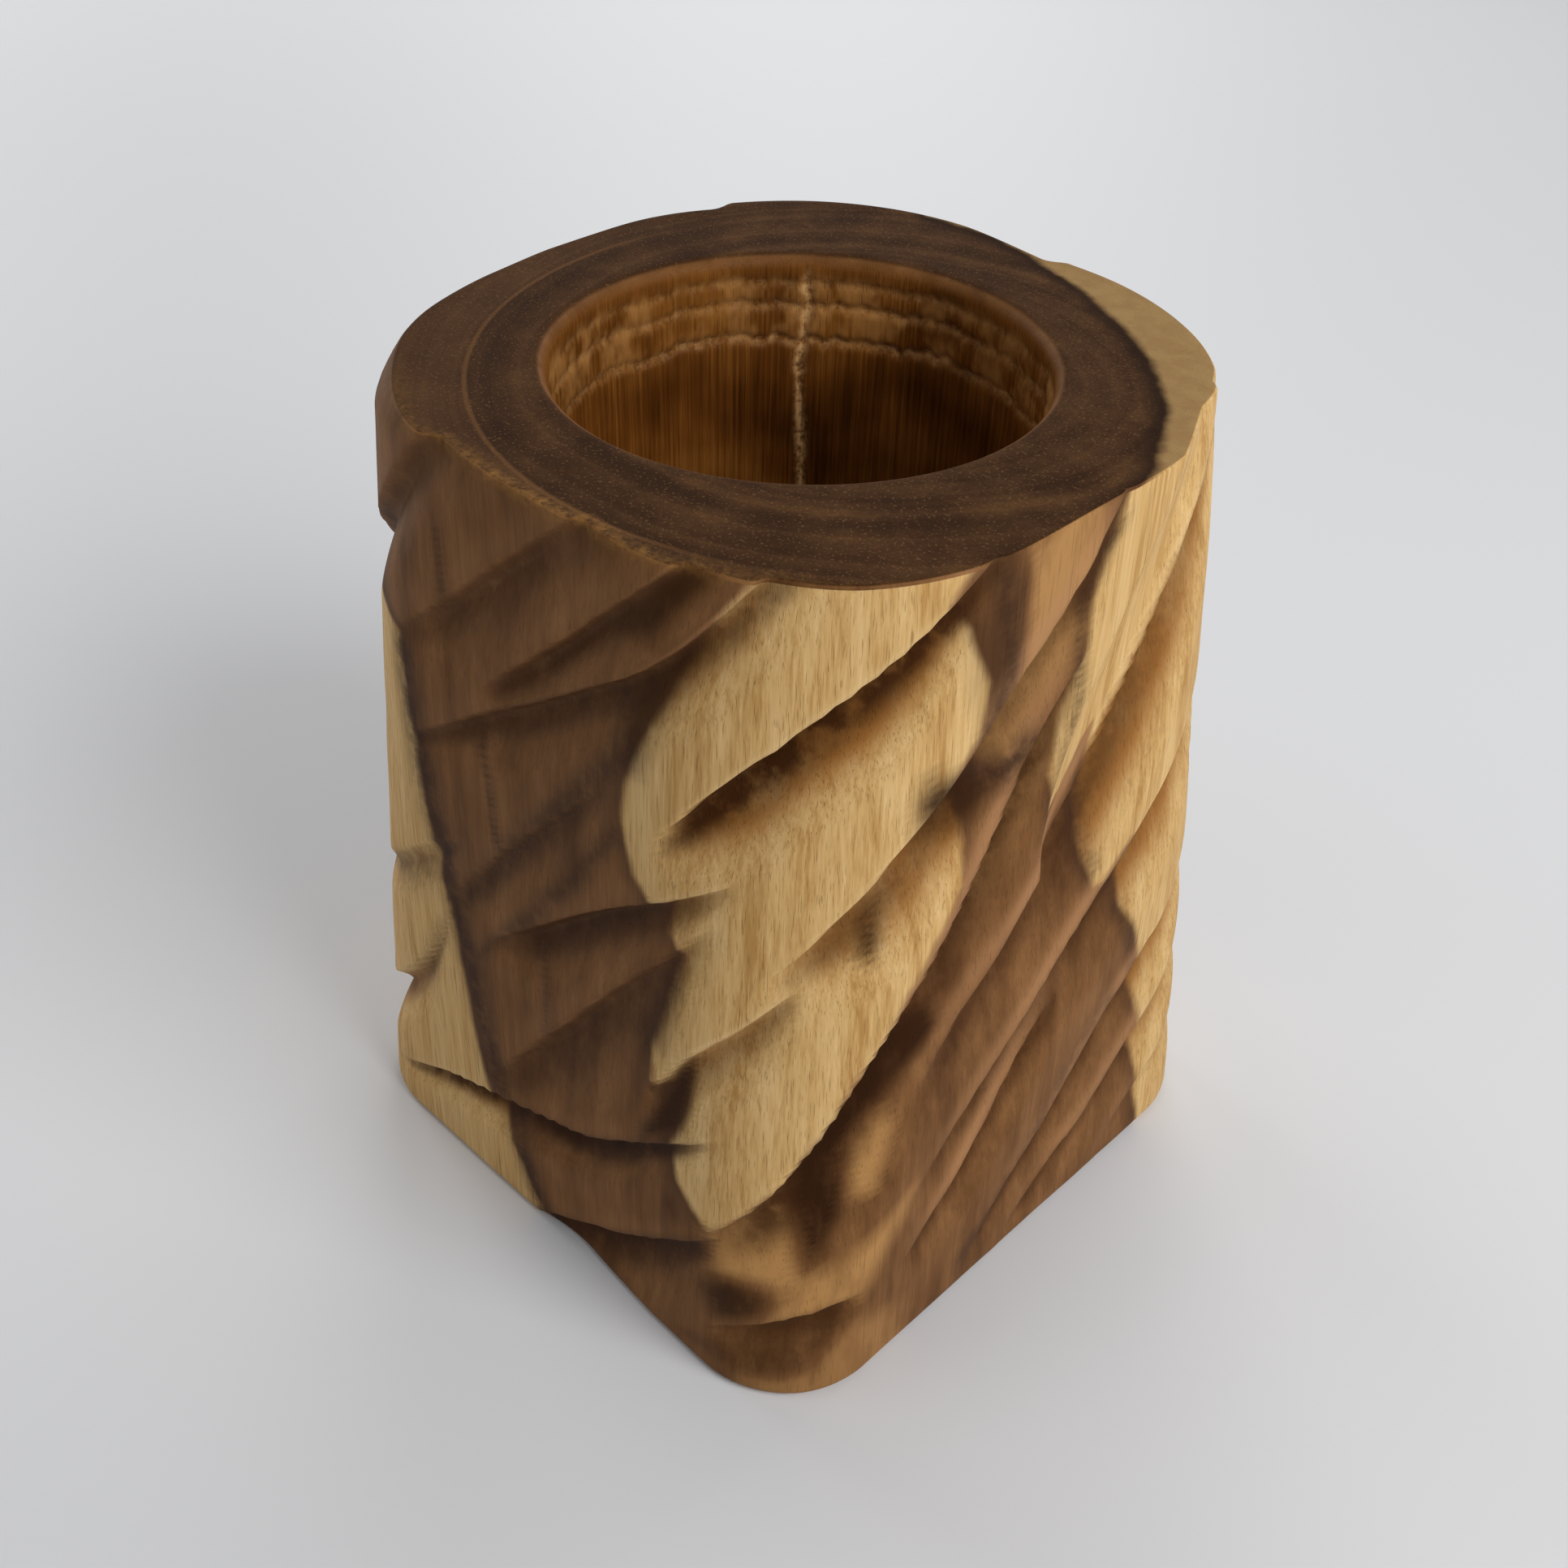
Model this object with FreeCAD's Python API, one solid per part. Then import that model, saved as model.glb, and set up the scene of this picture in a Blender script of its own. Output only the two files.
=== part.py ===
"""Hand-carved square pot for pens, cut from one block of two-tone wood.

Millimetres. +Z is up, the origin is the middle of the face it stands on, and the four sides face
+X, -X, +Y and -Y. Angles are in degrees about +Z from +X, so the middle of the +X side is at 0 and
of the -Y side at -90.
"""
import FreeCAD, Part
import math
import os

# ---- driving dimensions ----
HEIGHT = 100.0
BASE_HALF_WIDTH = 39.5  # half the distance between opposite sides at the foot
RIM_HALF_WIDTH = 37.7  # the same at the rim
BASE_CORNER_RADIUS = 12.5
RIM_CORNER_RADII = {45: 32.5, 135: 28.5, 225: 27.5, 315: 26.0}  # by the corner's angle
FOOT_ROUND = 1.4
BORE_RADIUS = 24.8
BORE_DEPTH = 86.0
BORE_CENTRE_X = -0.5
BORE_CENTRE_Y = -0.5
LIP_ROUND = 1.5
BORE_FLOOR_ROUND = 4.0

# ---- how finely the carved skin is laid out ----
COLUMNS = 240
ROW_SPACING = 1.2
FOOT_ROWS = (0.0, 0.3, 0.8, 1.4)  # closer together over the rounded foot

# ---- how a gouge cuts ----
TIP_SHARE = 0.38  # share of a cut over which a tip reaches its full width and depth
TIP_WIDTH = 0.3  # width at the very tip, as a share of the full width
FADE_POWER = 1.4  # larger makes a cut fade out sooner below
RIM_FADE = 0.45  # how much shallower the cuts are right at the rim
RIM_FADE_REACH = 7.0

# Each cut: width, depth, where across it the deepest place is, whether it starts and ends in a tip,
# and its upper edge as (angle, height) points. An end that is not a tip runs on and leaves over the
# foot or the rim.
CUTS = {
    "corner_long_upper": (9.0, 3.6, 0.13, True, True, [
        (-64.3, 70.8), (-56.6, 78.4), (-46.3, 86.3), (-36.8, 92.3), (-27.8, 97.9),
        (-22.0, 101.5)]),
    "corner_long_middle": (11.0, 3.2, 0.13, True, True, [
        (-49.4, 59.0), (-41.3, 66.3), (-33.1, 73.8), (-20.8, 84.1), (-5.6, 93.8), (0.2, 99.2),
        (4.0, 103.0)]),
    "corner_long_lower": (14.0, 4.0, 0.13, True, True, [
        (-55.8, 23.0), (-48.8, 30.0), (-42.0, 39.3), (-35.8, 48.8), (-24.8, 62.5), (-14.8, 74.6),
        (-2.0, 85.5)]),
    "corner_foot_scoop": (8.0, 2.0, 0.3, True, True, [(-55.0, 9.0), (-46.4, 12.7), (-35.5, 15.0)]),
    "right_rim": (15.0, 2.6, 0.62, True, False, [(-8.0, 70.0), (2.0, 83.0), (14.0, 98.0)]),
    "right_first": (13.0, 3.2, 0.16, True, True, [
        (-33.0, 36.0), (-20.8, 48.0), (-6.6, 59.1), (4.6, 67.7), (10.8, 74.2), (19.5, 84.0),
        (28.2, 91.6), (45.0, 106.0)]),
    "right_second": (12.0, 3.1, 0.16, True, True, [
        (-29.0, 24.0), (-18.8, 32.0), (-9.7, 37.7), (4.6, 47.0), (16.9, 54.9), (28.2, 64.0),
        (43.0, 77.0), (59.0, 91.0), (66.0, 97.0)]),
    "right_short": (8.0, 2.2, 0.16, True, True, [
        (-29.0, 14.5), (-17.8, 22.7), (-9.7, 29.1), (-1.5, 34.9), (8.0, 41.0)]),
    "right_third": (10.0, 2.8, 0.16, True, True, [
        (-15.0, 4.5), (-6.6, 11.4), (4.6, 18.5), (14.8, 27.0), (30.0, 38.5), (50.0, 54.0),
        (75.0, 73.0), (92.0, 86.0)]),
    "right_fourth": (9.5, 2.4, 0.16, True, True, [
        (-6.0, 2.5), (6.7, 9.1), (14.8, 12.5), (25.2, 19.9), (42.0, 33.0), (65.0, 50.0),
        (95.0, 72.0), (112.0, 85.0)]),
    "left_foot": (11.0, 2.0, 0.14, True, True, [
        (-95.0, 0.5), (-79.8, 7.2), (-69.6, 12.0), (-61.0, 17.8), (-53.0, 24.5)]),
    "left_low": (6.5, 2.0, 0.2, True, True, [
        (-130.0, 5.5), (-116.8, 12.0), (-106.3, 15.2), (-92.8, 18.4), (-80.8, 22.0), (-70.6, 27.0),
        (-53.0, 38.5)]),
    "left_long": (12.0, 1.8, 0.14, True, True, [
        (-103.0, 20.0), (-97.0, 26.0), (-82.8, 38.8), (-71.6, 49.2), (-60.4, 59.9),
        (-54.0, 67.0)]),
    "left_finger": (8.0, 1.6, 0.16, True, True, [
        (-66.0, 37.0), (-58.3, 47.2), (-51.8, 53.0), (-44.0, 60.0)]),
    "left_middle": (9.0, 2.0, 0.16, True, True, [
        (-101.6, 42.0), (-93.3, 46.8), (-81.6, 53.8), (-71.0, 60.0), (-62.4, 64.9),
        (-52.0, 70.5)]),
    "left_faint": (6.0, 0.9, 0.16, True, True, [
        (-113.0, 41.0), (-108.3, 45.6), (-98.1, 54.9), (-88.8, 62.0), (-77.8, 69.9),
        (-69.0, 76.5)]),
    "left_crease": (7.0, 1.8, 0.16, True, False, [
        (-118.0, 62.5), (-111.4, 66.3), (-99.1, 72.7), (-87.8, 77.7), (-78.8, 82.0), (-66.5, 88.4),
        (-58.3, 94.1), (-50.0, 101.5)]),
    "left_upper": (6.0, 1.7, 0.2, True, False, [
        (-99.6, 75.2), (-90.0, 81.2), (-78.6, 88.2), (-69.3, 94.5), (-59.0, 101.5)]),
    "left_high": (8.5, 1.6, 0.16, True, False, [
        (-119.0, 75.5), (-105.1, 84.0), (-93.6, 90.8), (-81.8, 97.5), (-75.0, 101.5)]),
    "side_corner_high": (7.5, 2.1, 0.16, True, False, [
        (-150.0, 70.0), (-140.0, 77.0), (-131.0, 83.5), (-124.0, 88.0), (-118.5, 92.0),
        (-111.4, 97.5), (-105.0, 102.0)]),
    "side_rim_chip": (6.5, 3.5, 0.38, True, True, [
        (-180.0, 102.5), (-155.0, 102.5), (-130.0, 102.5), (-105.0, 102.5)]),
    "side_corner_middle": (5.5, 0.9, 0.35, True, True, [
        (-139.0, 34.5), (-128.0, 40.5), (-115.5, 49.0), (-105.0, 54.5)]),
    "side_corner_low": (7.5, 2.2, 0.16, True, True, [
        (-164.0, 2.5), (-148.0, 8.0), (-138.0, 14.0), (-130.0, 19.5), (-124.5, 24.0),
        (-118.0, 31.0), (-111.0, 41.0)]),
    "back_first": (12.0, 2.1, 0.16, True, False, [
        (36.0, 56.5), (50.0, 68.0), (65.0, 81.0), (79.0, 94.0), (87.0, 101.0)]),
    "back_second": (11.0, 2.3, 0.16, True, False, [
        (21.0, 3.5), (40.0, 17.0), (58.0, 31.0), (76.0, 45.0), (95.0, 60.0), (115.0, 76.0),
        (135.0, 91.0), (149.0, 101.5)]),
    "back_third": (11.5, 2.4, 0.16, True, True, [
        (44.0, 2.0), (65.0, 17.0), (85.0, 33.0), (105.0, 48.0), (125.0, 64.0), (145.0, 79.0),
        (163.0, 93.0)]),
    "back_fourth": (11.0, 2.3, 0.16, True, True, [
        (68.0, 0.5), (90.0, 17.0), (110.0, 32.0), (130.0, 48.0), (150.0, 63.0), (170.0, 78.0),
        (190.0, 94.0)]),
    "back_fifth": (10.5, 2.2, 0.16, True, True, [
        (93.0, 0.5), (115.0, 17.0), (135.0, 32.0), (155.0, 48.0), (175.0, 64.0), (195.0, 79.0),
        (222.0, 98.0)]),
    "back_sixth": (10.5, 2.3, 0.16, True, True, [
        (118.0, 0.5), (140.0, 16.0), (160.0, 31.0), (180.0, 46.0), (200.0, 59.5), (214.0, 66.0)]),
    "back_seventh": (9.0, 2.2, 0.16, True, True, [
        (145.0, 0.5), (165.0, 14.0), (185.0, 26.5), (203.0, 35.5), (214.0, 39.0)]),
}


def mix(low, high, share):
    return low + (high - low) * share


def block_radius(angle, height):
    """How far the uncarved block reaches from the axis, at an angle and height."""
    share = height / HEIGHT
    half = mix(BASE_HALF_WIDTH, RIM_HALF_WIDTH, share)
    corner = 45 + 90 * round((angle - 45) / 90)
    radius = mix(BASE_CORNER_RADIUS, RIM_CORNER_RADII[corner % 360], share)
    off = math.radians(abs(angle - corner))
    centre = (half - radius) * math.sqrt(2)
    if off < math.pi / 4 - math.atan2(half - radius, half):
        return centre * math.cos(off) + math.sqrt(radius ** 2 - (centre * math.sin(off)) ** 2)
    return half / math.cos(math.pi / 4 - off)


def edge_at(points, angle):
    """A cut's upper edge at an angle: its height and slope, run on straight beyond the ends."""
    k = 0
    while k < len(points) - 2 and angle > points[k + 1][0]:
        k += 1
    (a0, h0), (a1, h1) = points[k], points[k + 1]
    slope = (h1 - h0) / (a1 - a0)
    return h0 + slope * (angle - a0), slope


def fullness(share, starts_in_tip, ends_in_tip):
    """How much of its full size a cut has at a share of its length, from 0 at a tip to 1."""
    full = 1.0
    for is_tip, distance in ((starts_in_tip, share), (ends_in_tip, 1 - share)):
        if is_tip:
            full = min(full, math.sin(math.pi / 2 * min(1.0, max(0.0, distance) / TIP_SHARE)))
    return full


def section(place, peak):
    """The depth across a cut, as a share: none at its upper edge, full at the peak, none at 1."""
    if not 0 < place < 1:
        return 0.0
    wall = min(1.0, place / peak)
    fade = min(1.0, (1 - place) / (1 - peak))
    return wall * (2 - wall) * fade ** FADE_POWER


def cut_depth(cut, angle, height):
    width, depth, peak, starts_in_tip, ends_in_tip, points = cut
    start, end = points[0][0], points[-1][0]
    middle = (start + end) / 2
    angle = middle + (angle - middle + 180) % 360 - 180
    full = fullness((angle - start) / (end - start), starts_in_tip, ends_in_tip)
    if full == 0:
        return 0.0
    edge, slope = edge_at(points, angle)
    rise = slope / math.radians(block_radius(angle, height))
    below = (edge - height) / math.sqrt(1 + rise ** 2)
    return depth * full * section(below / (width * mix(TIP_WIDTH, 1.0, full)), peak)


def foot_inset(height):
    if height >= FOOT_ROUND:
        return 0.0
    return FOOT_ROUND - math.sqrt(FOOT_ROUND ** 2 - (FOOT_ROUND - height) ** 2)


def skin_point(angle, height):
    """A point of the carved outside: the block, less the deepest cut there and the rounded foot."""
    bite = max(cut_depth(cut, angle, height) for cut in CUTS.values())
    bite *= 1 - RIM_FADE * math.exp(-((HEIGHT - height) / RIM_FADE_REACH) ** 2)
    reach = block_radius(angle, height) - bite - foot_inset(height)
    turn = math.radians(angle)
    return FreeCAD.Vector(reach * math.cos(turn), reach * math.sin(turn), height)


def carved_block():
    """The block with its flutes: one smooth closed skin between a flat foot and a flat rim."""
    rows = round((HEIGHT - FOOT_ROWS[-1]) / ROW_SPACING)
    heights = list(FOOT_ROWS) + [mix(FOOT_ROWS[-1], HEIGHT, (k + 1) / rows) for k in range(rows)]
    angles = [-180 + 360 * k / COLUMNS for k in range(COLUMNS)]
    poles = [[skin_point(angle, height) for height in heights] for angle in angles]
    skin = Part.BSplineSurface()
    inner_knots = len(heights) - 4
    skin.buildFromPolesMultsKnots(
        poles, [1] * (COLUMNS + 1), [4] + [1] * inner_knots + [4],
        list(range(COLUMNS + 1)), list(range(inner_knots + 2)), True, False, 3, 3)
    side = skin.toShape()
    rings = sorted(side.Edges, key=lambda e: e.BoundBox.ZMax)
    foot = Part.Face(Part.Wire([rings[0]]))
    rim = Part.Face(Part.Wire([rings[-1]]))
    shell = Part.makeShell([side, foot, rim])
    shell.sewShape()
    solid = Part.makeSolid(shell)
    if solid.Volume < 0:
        solid.reverse()
    return solid


def bore():
    """What is bored out: a flat-bottomed round well with a rounded floor corner and a rounded lip."""
    floor = HEIGHT - BORE_DEPTH
    above = HEIGHT + 5.0
    flare = BORE_RADIUS + LIP_ROUND
    bend = 1 - math.sqrt(0.5)

    def at(radius, height):
        return FreeCAD.Vector(radius, 0, height)

    corner = BORE_RADIUS - BORE_FLOOR_ROUND
    lip = HEIGHT - LIP_ROUND
    edges = [
        Part.LineSegment(at(0, floor), at(corner, floor)),
        Part.Arc(at(corner, floor),
                 at(BORE_RADIUS - BORE_FLOOR_ROUND * bend, floor + BORE_FLOOR_ROUND * bend),
                 at(BORE_RADIUS, floor + BORE_FLOOR_ROUND)),
        Part.LineSegment(at(BORE_RADIUS, floor + BORE_FLOOR_ROUND), at(BORE_RADIUS, lip)),
        Part.Arc(at(BORE_RADIUS, lip),
                 at(BORE_RADIUS + LIP_ROUND * bend, HEIGHT - LIP_ROUND * bend), at(flare, HEIGHT)),
        Part.LineSegment(at(flare, HEIGHT), at(flare, above)),
        Part.LineSegment(at(flare, above), at(0, above)),
        Part.LineSegment(at(0, above), at(0, floor)),
    ]
    profile = Part.Face(Part.Wire([e.toShape() for e in edges]))
    tool = profile.revolve(FreeCAD.Vector(0, 0, 0), FreeCAD.Vector(0, 0, 1), 360)
    tool.translate(FreeCAD.Vector(BORE_CENTRE_X, BORE_CENTRE_Y, 0))
    return tool


def main():
    os.makedirs("parts", exist_ok=True)
    pot = carved_block().cut(bore())
    print("valid", pot.isValid(), "volume", round(pot.Volume), "box", pot.BoundBox)
    pot.exportStep("parts/carved_pot.step")


main()
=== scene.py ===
"""Carved two-tone wooden pot: the visible model, its floor, lights and camera.

Blender objects are in metres. The pot's shape is worked out in millimetres and degrees in the
frame of the CAD model: +Z is up, the origin is the middle of the face it stands on, and the +X
side is at angle 0.
"""
import math
import bpy
import numpy as np
from mathutils import Matrix, Vector, noise


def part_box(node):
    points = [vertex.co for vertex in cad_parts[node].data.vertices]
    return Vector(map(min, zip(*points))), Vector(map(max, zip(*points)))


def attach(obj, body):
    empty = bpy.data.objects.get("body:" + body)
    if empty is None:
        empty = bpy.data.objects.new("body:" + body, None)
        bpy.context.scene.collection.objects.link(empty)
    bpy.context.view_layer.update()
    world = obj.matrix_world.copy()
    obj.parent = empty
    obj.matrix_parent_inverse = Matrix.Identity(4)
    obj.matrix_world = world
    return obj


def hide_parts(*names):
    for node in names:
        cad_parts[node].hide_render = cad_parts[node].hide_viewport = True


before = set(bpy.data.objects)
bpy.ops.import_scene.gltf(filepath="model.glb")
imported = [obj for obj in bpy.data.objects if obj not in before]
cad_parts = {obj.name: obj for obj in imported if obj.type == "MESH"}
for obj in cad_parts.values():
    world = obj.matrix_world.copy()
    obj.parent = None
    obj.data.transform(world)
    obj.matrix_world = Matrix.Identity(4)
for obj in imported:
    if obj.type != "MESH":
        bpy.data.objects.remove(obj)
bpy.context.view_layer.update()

MM = 0.001
node_low, node_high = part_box("carved_pot")

# ---- the block and its well ----
HEIGHT = (node_high.z - node_low.z) / MM
BASE_HALF_WIDTH = 39.5
RIM_HALF_WIDTH = 37.7
BASE_CORNER_RADIUS = 12.5
RIM_CORNER_RADII = {45: 32.5, 135: 28.5, 225: 27.5, 315: 26.0}  # by the corner's angle
FOOT_ROUND = 1.4
RIM_ROUND = 0.35
BORE_RADIUS = 24.8
BORE_DEPTH = 86.0
BORE_CENTRE = (-0.5, -0.5)
LIP_ROUND = 1.5
BORE_FLOOR_ROUND = 4.0
RIPPLE = 0.07  # mean depth of the ripples all over the skin, which only go inwards

# ---- the frayed fibres of the rim ----
FRAYED_MIDDLE = -84.0  # the angle where they are thickest
FRAYED_REACH = 30.0  # degrees from there to where they have mostly gone
FRAYED_HEIGHT = 0.8  # how far below the rim
FRAYED_DEPTH = 0.12

# ---- what the tool and the drying left in the well ----
# Each tool ring: how far below the rim, how deep, how much it wanders up and down.
TOOL_RINGS = ((3.0, 0.25, 1.0), (5.6, 0.4, 1.3), (9.6, 0.5, 1.8))
TOOLED_DEPTH = 14.0  # the mesh of the well is fine down to here
ROUGHEST_ANGLE = 120.0  # where the tool rings are deepest
CRACK_ANGLE = 133.0
CRACK_DEPTH = 0.4

# ---- the growth rings ----
PITH = (5.9, 3.2)  # the middle of the growth rings
RING_LINE = 39.3  # radius of the one strong growth ring
UNDERSIDE_SAPWOOD = 38.5  # radius where the sapwood starts on the underside

# ---- how a gouge cuts ----
TIP_SHARE = 0.38  # share of a cut's length over which a tip reaches its full width and depth
TIP_WIDTH = 0.3  # width at the very tip, as a share of the full width
FADE_POWER = 1.4  # larger makes a cut fade out sooner below
STAIN_AND_SHADE_FULL = 0.3  # where across a cut the stain and painted shade start to fade, and where they end
STAIN_AND_SHADE_END = 0.62
STEEP_PEAK = 0.3  # a cut whose peak is nearer its edge than this has a crisp edge
RIM_FADE = 0.45  # how much shallower the cuts are right at the rim
RIM_FADE_REACH = 7.0

# ---- the mesh ----
COLUMNS = 460
TWIST = 1.2  # degrees per millimetre: the columns of the skin lean the way the flutes run
OUTER_ROWS = 112
TOP_RINGS = 10
UNWRAP = 0.75  # millimetres of skin per degree, for distances on the unrolled sides

# Each cut: width, depth, where across it the deepest place is, how dark its wall is (stained wood
# and painted shade together), whether it starts and ends in a tip, and its upper edge as (angle,
# height) points. An end that is not a tip runs on and leaves over the foot or the rim.
CUTS = {
    "corner_long_upper": (9.0, 3.6, 0.13, 1.0, True, True, [
        (-64.3, 70.8), (-56.6, 78.4), (-46.3, 86.3), (-36.8, 92.3), (-27.8, 97.9), (-22.0, 101.5)]),
    "corner_long_middle": (11.0, 3.2, 0.13, 0.6, True, True, [
        (-49.4, 59.0), (-41.3, 66.3), (-33.1, 73.8), (-20.8, 84.1), (-5.6, 93.8), (0.2, 99.2),
        (4.0, 103.0)]),
    "corner_long_lower": (14.0, 4.0, 0.13, 0.9, True, True, [
        (-55.8, 23.0), (-48.8, 30.0), (-42.0, 39.3), (-35.8, 48.8), (-24.8, 62.5), (-14.8, 74.6),
        (-2.0, 85.5)]),
    "corner_foot_scoop": (8.0, 2.0, 0.3, 0.5, True, True, [
        (-55.0, 9.0), (-46.4, 12.7), (-35.5, 15.0)]),
    "right_rim": (15.0, 2.6, 0.62, 0.0, True, False, [(-8.0, 70.0), (2.0, 83.0), (14.0, 98.0)]),
    "right_first": (13.0, 3.2, 0.16, 0.7, True, True, [
        (-33.0, 36.0), (-20.8, 48.0), (-6.6, 59.1), (4.6, 67.7), (10.8, 74.2), (19.5, 84.0),
        (28.2, 91.6), (45.0, 106.0)]),
    "right_second": (12.0, 3.1, 0.16, 0.7, True, True, [
        (-29.0, 24.0), (-18.8, 32.0), (-9.7, 37.7), (4.6, 47.0), (16.9, 54.9), (28.2, 64.0),
        (43.0, 77.0), (59.0, 91.0), (66.0, 97.0)]),
    "right_short": (8.0, 2.2, 0.16, 0.7, True, True, [
        (-29.0, 14.5), (-17.8, 22.7), (-9.7, 29.1), (-1.5, 34.9), (8.0, 41.0)]),
    "right_third": (10.0, 2.8, 0.16, 0.8, True, True, [
        (-15.0, 4.5), (-6.6, 11.4), (4.6, 18.5), (14.8, 27.0), (30.0, 38.5), (50.0, 54.0),
        (75.0, 73.0), (92.0, 86.0)]),
    "right_fourth": (9.5, 2.4, 0.16, 0.7, True, True, [
        (-6.0, 2.5), (6.7, 9.1), (14.8, 12.5), (25.2, 19.9), (42.0, 33.0), (65.0, 50.0),
        (95.0, 72.0), (112.0, 85.0)]),
    "left_foot": (11.0, 2.0, 0.14, 0.85, True, True, [
        (-95.0, 0.5), (-79.8, 7.2), (-69.6, 12.0), (-61.0, 17.8), (-53.0, 24.5)]),
    "left_low": (6.5, 2.0, 0.2, 1.0, True, True, [
        (-130.0, 5.5), (-116.8, 12.0), (-106.3, 15.2), (-92.8, 18.4), (-80.8, 22.0), (-70.6, 27.0),
        (-53.0, 38.5)]),
    "left_long": (12.0, 1.8, 0.14, 0.55, True, True, [
        (-103.0, 20.0), (-97.0, 26.0), (-82.8, 38.8), (-71.6, 49.2), (-60.4, 59.9), (-54.0, 67.0)]),
    "left_finger": (8.0, 1.6, 0.16, 0.35, True, True, [
        (-66.0, 37.0), (-58.3, 47.2), (-51.8, 53.0), (-44.0, 60.0)]),
    "left_middle": (9.0, 2.0, 0.16, 0.6, True, True, [
        (-101.6, 42.0), (-93.3, 46.8), (-81.6, 53.8), (-71.0, 60.0), (-62.4, 64.9), (-52.0, 70.5)]),
    "left_faint": (6.0, 0.9, 0.16, 0.25, True, True, [
        (-113.0, 41.0), (-108.3, 45.6), (-98.1, 54.9), (-88.8, 62.0), (-77.8, 69.9),
        (-69.0, 76.5)]),
    "left_crease": (7.0, 1.8, 0.16, 0.65, True, False, [
        (-118.0, 62.5), (-111.4, 66.3), (-99.1, 72.7), (-87.8, 77.7), (-78.8, 82.0), (-66.5, 88.4),
        (-58.3, 94.1), (-50.0, 101.5)]),
    "left_upper": (6.0, 1.7, 0.2, 0.65, True, False, [
        (-99.6, 75.2), (-90.0, 81.2), (-78.6, 88.2), (-69.3, 94.5), (-59.0, 101.5)]),
    "left_high": (8.5, 1.6, 0.16, 0.45, True, False, [
        (-119.0, 75.5), (-105.1, 84.0), (-93.6, 90.8), (-81.8, 97.5), (-75.0, 101.5)]),
    "side_corner_high": (7.5, 2.1, 0.16, 0.4, True, False, [
        (-150.0, 70.0), (-140.0, 77.0), (-131.0, 83.5), (-124.0, 88.0), (-118.5, 92.0),
        (-111.4, 97.5), (-105.0, 102.0)]),
    "side_rim_chip": (6.5, 3.5, 0.38, 0.6, True, True, [
        (-180.0, 102.5), (-155.0, 102.5), (-130.0, 102.5), (-105.0, 102.5)]),
    "side_corner_middle": (5.5, 0.9, 0.35, 0.4, True, True, [
        (-139.0, 34.5), (-128.0, 40.5), (-115.5, 49.0), (-105.0, 54.5)]),
    "side_corner_low": (7.5, 2.2, 0.16, 0.4, True, True, [
        (-164.0, 2.5), (-148.0, 8.0), (-138.0, 14.0), (-130.0, 19.5), (-124.5, 24.0),
        (-118.0, 31.0), (-111.0, 41.0)]),
    "back_first": (12.0, 2.1, 0.16, 0.4, True, False, [
        (36.0, 56.5), (50.0, 68.0), (65.0, 81.0), (79.0, 94.0), (87.0, 101.0)]),
    "back_second": (11.0, 2.3, 0.16, 0.4, True, False, [
        (21.0, 3.5), (40.0, 17.0), (58.0, 31.0), (76.0, 45.0), (95.0, 60.0), (115.0, 76.0),
        (135.0, 91.0), (149.0, 101.5)]),
    "back_third": (11.5, 2.4, 0.16, 0.5, True, True, [
        (44.0, 2.0), (65.0, 17.0), (85.0, 33.0), (105.0, 48.0), (125.0, 64.0), (145.0, 79.0),
        (163.0, 93.0)]),
    "back_fourth": (11.0, 2.3, 0.16, 0.5, True, True, [
        (68.0, 0.5), (90.0, 17.0), (110.0, 32.0), (130.0, 48.0), (150.0, 63.0), (170.0, 78.0),
        (190.0, 94.0)]),
    "back_fifth": (10.5, 2.2, 0.16, 0.5, True, True, [
        (93.0, 0.5), (115.0, 17.0), (135.0, 32.0), (155.0, 48.0), (175.0, 64.0), (195.0, 79.0),
        (222.0, 98.0)]),
    "back_sixth": (10.5, 2.3, 0.16, 0.5, True, True, [
        (118.0, 0.5), (140.0, 16.0), (160.0, 31.0), (180.0, 46.0), (200.0, 59.5), (214.0, 66.0)]),
    "back_seventh": (9.0, 2.2, 0.16, 0.5, True, True, [
        (145.0, 0.5), (165.0, 14.0), (185.0, 26.5), (203.0, 35.5), (214.0, 39.0)]),
}

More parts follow.
